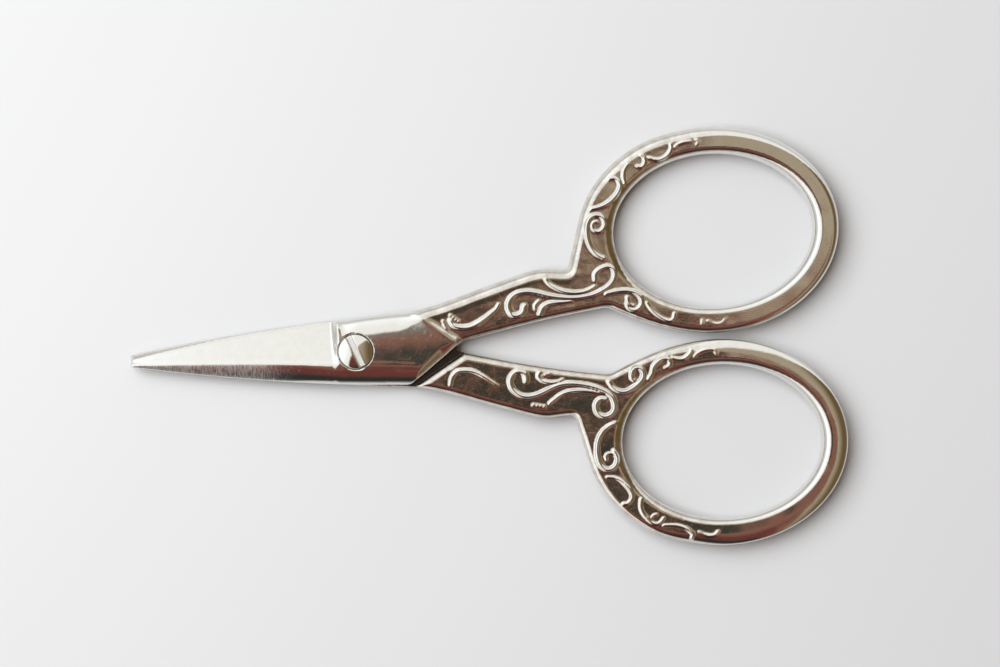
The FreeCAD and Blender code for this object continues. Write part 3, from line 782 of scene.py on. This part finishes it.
class Nodes:
    """A short way to write the node tree of a material or of the world."""

    def __init__(self, owner, shader_kind="BSDF_PRINCIPLED"):
        """Takes over the nodes of a material or world and finds its shader."""
        owner.use_nodes = True
        self.owner = owner
        self.tree = owner.node_tree
        self.shader = next(n for n in self.tree.nodes if n.type == shader_kind)

    def add(self, kind, **settings):
        """A new node, with settings for its inputs or its own properties."""
        node = self.tree.nodes.new(kind)
        for key, value in settings.items():
            if key in node.inputs:
                node.inputs[key].default_value = value
            else:
                setattr(node, key, value)
        return node

    def link(self, source, target):
        """Feeds an input from another node's output, or sets it to a number or a colour."""
        if isinstance(source, (int, float)):
            target.default_value = source
        elif isinstance(source, tuple):
            target.default_value = (*source, 1) if target.type == "RGBA" else source
        else:
            self.tree.links.new(source, target)

    def noise(self, scale, detail=2.0, roughness=0.5):
        """Noise in the object's own space, from 0 to 1, at a scale per metre."""
        where = self.add("ShaderNodeTexCoord")
        noise = self.add("ShaderNodeTexNoise", Scale=scale, Detail=detail, Roughness=roughness)
        self.link(where.outputs["Object"], noise.inputs["Vector"])
        return noise.outputs["Fac"]

    def ramp(self, source, stops):
        """A colour that follows a value, from (place, colour) stops."""
        ramp = self.add("ShaderNodeValToRGB")
        while len(ramp.color_ramp.elements) < len(stops):
            ramp.color_ramp.elements.new(0.5)
        for element, (place, colour) in zip(ramp.color_ramp.elements, stops):
            element.position = place
            element.color = (*colour, 1)
        self.link(source, ramp.inputs["Fac"])
        return ramp.outputs["Color"]

    def mix(self, share, first, second):
        """The first colour where share is 0 and the second where it is 1."""
        node = self.add("ShaderNodeMix", data_type="RGBA")
        for source, target in ((share, 0), (first, 6), (second, 7)):
            self.link(source, node.inputs[target])
        return node.outputs[2]

    def number(self, operation, first, second=0.0, third=0.0):
        """The result of a Math node."""
        node = self.add("ShaderNodeMath", operation=operation)
        for source, target in zip((first, second, third), node.inputs):
            self.link(source, target)
        return node.outputs[0]

    def step(self, value, low, high):
        """0 below low, 1 above high and a smooth rise between; low may be the larger."""
        node = self.add("ShaderNodeMapRange", interpolation_type="SMOOTHSTEP")
        for source, target in zip((value, low, high), node.inputs):
            self.link(source, target)
        return node.outputs[0]

    def dot(self, vector, direction):
        """How far a vector goes along a direction."""
        node = self.add("ShaderNodeVectorMath", operation="DOT_PRODUCT")
        self.link(vector, node.inputs[0])
        self.link(direction, node.inputs[1])
        return node.outputs["Value"]

    def attribute(self, name):
        """A number stored at the mesh's vertices."""
        return self.add("ShaderNodeAttribute", attribute_name=name).outputs["Fac"]


# Colours of the plating as linear light: stops for the bright plate and for the dull ground,
# then dark specks, and the painted shade for the gaps between the parts
BRIGHT_PLATE = [(0.3, (0.83, 0.81, 0.77)), (0.7, (0.86, 0.845, 0.81))]
DULL_PLATE = [(0.35, (0.60, 0.54, 0.47)), (0.6, (0.80, 0.75, 0.68))]
SPECK = (0.3, 0.25, 0.2)
PAINTED_SHADE_COLOUR = (0.06, 0.05, 0.042)

# Depths of the bumps, in metres
GRAIN_DEPTH = 0.000006
CASTING_DEPTH = 0.00001
GRINDING_DEPTH = 0.00002


def worn_nickel(name):
    """Old polished nickel plate: warm, slightly duller in the sunk ground and on worn crests,
    cross-ground on the blade, and darkened with painted shade on the mating faces beside the
    joint and round the screw's recess."""
    n = Nodes(bpy.data.materials.new(name))
    cloud = n.noise(900.0, 4.0)
    plate = n.ramp(cloud, BRIGHT_PLATE)
    dull = n.ramp(cloud, DULL_PLATE)
    sunk = n.attribute("sunk")
    painted_gap_shade = n.attribute("painted_gap_shade")
    blade = n.attribute("blade")
    mating = n.attribute("mating")
    worn = n.attribute("worn")
    colour = n.mix(n.number("MULTIPLY", sunk, 0.75), plate, dull)
    speck = n.step(n.noise(5200.0, 3.0, 0.6), 0.36, 0.26)
    colour = n.mix(n.number("MULTIPLY", speck, 0.35), colour, SPECK)
    # Painted shade: nearly black on the mating faces beside the joint and round the screw's recess
    colour = n.mix(painted_gap_shade, colour, PAINTED_SHADE_COLOUR)
    n.link(colour, n.shader.inputs["Base Color"])
    n.shader.inputs["Metallic"].default_value = 1.0

    stretched = n.add("ShaderNodeMapping")
    n.link(n.add("ShaderNodeTexCoord").outputs["Object"], stretched.inputs["Vector"])
    n.link((1.0, 0.15, 0.15), stretched.inputs["Scale"])
    streaks = n.add("ShaderNodeTexNoise", Scale=7500.0, Detail=1.0)
    n.link(stretched.outputs["Vector"], streaks.inputs["Vector"])
    scored = n.step(streaks.outputs["Fac"], 0.35, 0.65)

    scuffs = n.step(n.noise(2600.0, 4.0, 0.65), 0.5, 0.75)
    rough = n.number("MULTIPLY_ADD", scuffs, 0.12, 0.06)
    rough = n.number("MULTIPLY_ADD", blade, 0.18, rough)
    rough = n.number("MULTIPLY_ADD", n.number("MULTIPLY", blade, scored), 0.12, rough)
    rough = n.number("MULTIPLY_ADD", mating, 0.2, rough)
    rough = n.number("MULTIPLY_ADD", worn, 0.08, rough)
    n.link(rough, n.shader.inputs["Roughness"])

    grain = n.add("ShaderNodeBump", Strength=0.5, Distance=GRAIN_DEPTH)
    n.link(n.noise(6000.0, 2.0), grain.inputs["Height"])
    cast = n.add("ShaderNodeBump", Distance=CASTING_DEPTH)
    n.link(n.number("MULTIPLY", sunk, 0.35), cast.inputs["Strength"])
    n.link(n.noise(8000.0, 3.0), cast.inputs["Height"])
    n.link(grain.outputs["Normal"], cast.inputs["Normal"])
    ground = n.add("ShaderNodeBump", Distance=GRINDING_DEPTH)
    n.link(n.number("MULTIPLY", blade, 0.4), ground.inputs["Strength"])
    n.link(streaks.outputs["Fac"], ground.inputs["Height"])
    n.link(cast.outputs["Normal"], ground.inputs["Normal"])
    n.link(ground.outputs["Normal"], n.shader.inputs["Normal"])
    return n.owner


# ------------------------------------------------------------------ the pieces

front = build_half("front_blade_and_bow", True, worn_nickel("front_nickel"))
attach(front, "front_blade")
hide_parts("front_half")

rear = build_half("rear_blade_and_bow", False, worn_nickel("rear_nickel"))
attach(rear, "rear_blade")
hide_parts("rear_half")

screw = build_screw(worn_nickel("screw_nickel"))
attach(screw, "rear_blade")
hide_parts("pivot_screw")


# ------------------------------------------------------------------ floor, light, camera


TABLE_COLOUR = (0.42, 0.418, 0.42)
TABLE_ROUGHNESS = 0.35
TABLE_REACH = 0.6


def build_floor():
    """The plain table top, a square in the plane the scissors lie on."""
    mesh = bpy.data.meshes.new("floor")
    square = ((-1, -1), (1, -1), (1, 1), (-1, 1))
    corners = [(x * TABLE_REACH, y * TABLE_REACH, 0) for x, y in square]
    mesh.from_pydata(corners, [], [(0, 1, 2, 3)])
    floor = bpy.data.objects.new("floor", mesh)
    bpy.context.scene.collection.objects.link(floor)
    n = Nodes(bpy.data.materials.new("white_laminate"))
    n.shader.inputs["Base Color"].default_value = (*TABLE_COLOUR, 1)
    n.shader.inputs["Roughness"].default_value = TABLE_ROUGHNESS
    mesh.materials.append(n.owner)


def area_light(name, place, aim, size, power, colour):
    """A rectangular lamp that shines towards a point; size is its two sides, in metres."""
    data = bpy.data.lights.new(name, "AREA")
    data.shape = "RECTANGLE"
    data.size, data.size_y = size
    data.energy = power
    data.color = colour
    lamp = bpy.data.objects.new(name, data)
    bpy.context.scene.collection.objects.link(lamp)
    lamp.location = place
    lamp.rotation_euler = (Vector(aim) - Vector(place)).to_track_quat("-Z", "Y").to_euler()
    return lamp


# Colours of the room that the metal mirrors, as linear light
WINDOW = (1.25, 1.3, 1.36)
WINDOW_EDGE = (0.97, 0.97, 0.93)
KHAKI = (0.41, 0.345, 0.25)
OLIVE = (0.15, 0.1, 0.042)
SHELF = (0.15, 0.135, 0.12)
BROWN = (0.235, 0.112, 0.082)
RED = (0.15, 0.045, 0.038)
NEAR_BLACK = (0.030, 0.033, 0.032)
DARK_GREEN = (0.045, 0.050, 0.041)
FAR_WALL = (0.31, 0.295, 0.27)
UNDER_WINDOW = (0.66, 0.66, 0.65)


def build_world():
    """The room round the table: a wide window at the upper left, dim khaki above and to the
    right, a red-brown figure at the near side and a dark shape nearly straight overhead. Low
    down, all of it fades into plain grey walls, which only the side views mirror."""
    world = bpy.data.worlds.new("studio")
    bpy.context.scene.world = world
    n = Nodes(world, "BACKGROUND")
    way = n.add("ShaderNodeTexCoord").outputs["Generated"]
    uneven = n.add("ShaderNodeTexNoise", Scale=14.0, Detail=3.0)
    n.link(way, uneven.inputs["Vector"])
    uneven = n.number("MULTIPLY_ADD", uneven.outputs["Fac"], 0.07, -0.035)

    right = n.dot(way, (1.0, 0.0, 0.0))
    up = n.dot(way, (0.0, 1.0, 0.0))
    khaki = n.mix(n.step(right, 0.2, 0.6), KHAKI, OLIVE)
    # A dull shelf among the khaki, at the upper left
    shelf = n.number("MULTIPLY", n.step(up, 0.03, 0.06), n.step(right, 0.03, -0.01))
    khaki = n.mix(shelf, khaki, SHELF)

    # The figure's upper outline steps down in the middle and falls away at its right side
    slanted = n.number("MINIMUM", n.number("MAXIMUM", right, 0.0), 0.05)
    near = n.number("MULTIPLY_ADD", slanted, 0.8, n.number("ADD", up, uneven))
    past_figure = n.number("MAXIMUM", n.number("ADD", right, -0.2), 0.0)
    near = n.number("MULTIPLY_ADD", past_figure, 4.0, near)
    figure = n.mix(n.step(near, -0.12, -0.4), BROWN, RED)
    figure = n.mix(n.step(near, -0.5, -0.75), figure, NEAR_BLACK)
    colour = n.mix(n.step(near, 0.06, 0.035), khaki, figure)

    # The dark shape overhead, with an uneven outline
    overhead = n.add("ShaderNodeVectorMath", operation="MULTIPLY_ADD")
    n.link(way, overhead.inputs[0])
    n.link((18.5, 18.5, 0.0), overhead.inputs[1])
    n.link((-0.2, 1.13, 0.0), overhead.inputs[2])
    reach = n.add("ShaderNodeVectorMath", operation="LENGTH")
    n.link(overhead.outputs["Vector"], reach.inputs[0])
    reach = n.number("MULTIPLY_ADD", uneven, 5.0, reach.outputs["Value"])
    colour = n.mix(n.step(reach, 1.2, 0.95), colour, DARK_GREEN)

    # The grey walls low down, then the window over everything at its side
    above = n.dot(way, (0.0, 0.0, 1.0))
    colour = n.mix(n.step(above, 0.45, 0.15), colour, FAR_WALL)
    low = n.number("SUBTRACT", 1.0, above)
    lean = n.dot(way, (-0.78, 0.62, 0.0))
    window = n.mix(n.step(n.dot(way, (-0.9, 0.35, 0.0)), 0.15, 0.6), WINDOW_EDGE, WINDOW)
    window = n.mix(n.step(above, 0.6, 0.25), window, UNDER_WINDOW)
    share = n.step(n.number("MULTIPLY_ADD", low, 0.7, lean), 0.065, 0.14)
    n.link(n.mix(share, colour, window), n.shader.inputs["Color"])


def build_camera():
    """Straight above, turned so that the scissors lie 2.5 degrees anticlockwise."""
    data = bpy.data.cameras.new("camera")
    data.sensor_width = 36.0
    data.lens = 120.0
    data.clip_start = 0.01
    view_width = 0.125
    height = view_width * data.lens / data.sensor_width
    camera = bpy.data.objects.new("camera", data)
    bpy.context.scene.collection.objects.link(camera)
    camera.location = (0.01802, 0.00147, height)
    camera.rotation_euler = Euler((0, 0, math.radians(-2.5)))
    bpy.context.scene.camera = camera


build_floor()
build_world()
window_glow = area_light(
    "window_glow",
    place=(-0.2, 0.12, 0.4),
    aim=(0, 0, 0),
    size=(0.46, 0.46),
    power=4.55,
    colour=(0.96, 0.98, 1),
)
window_glow.visible_glossy = False
build_camera()
bpy.context.scene.view_settings.view_transform = "Standard"
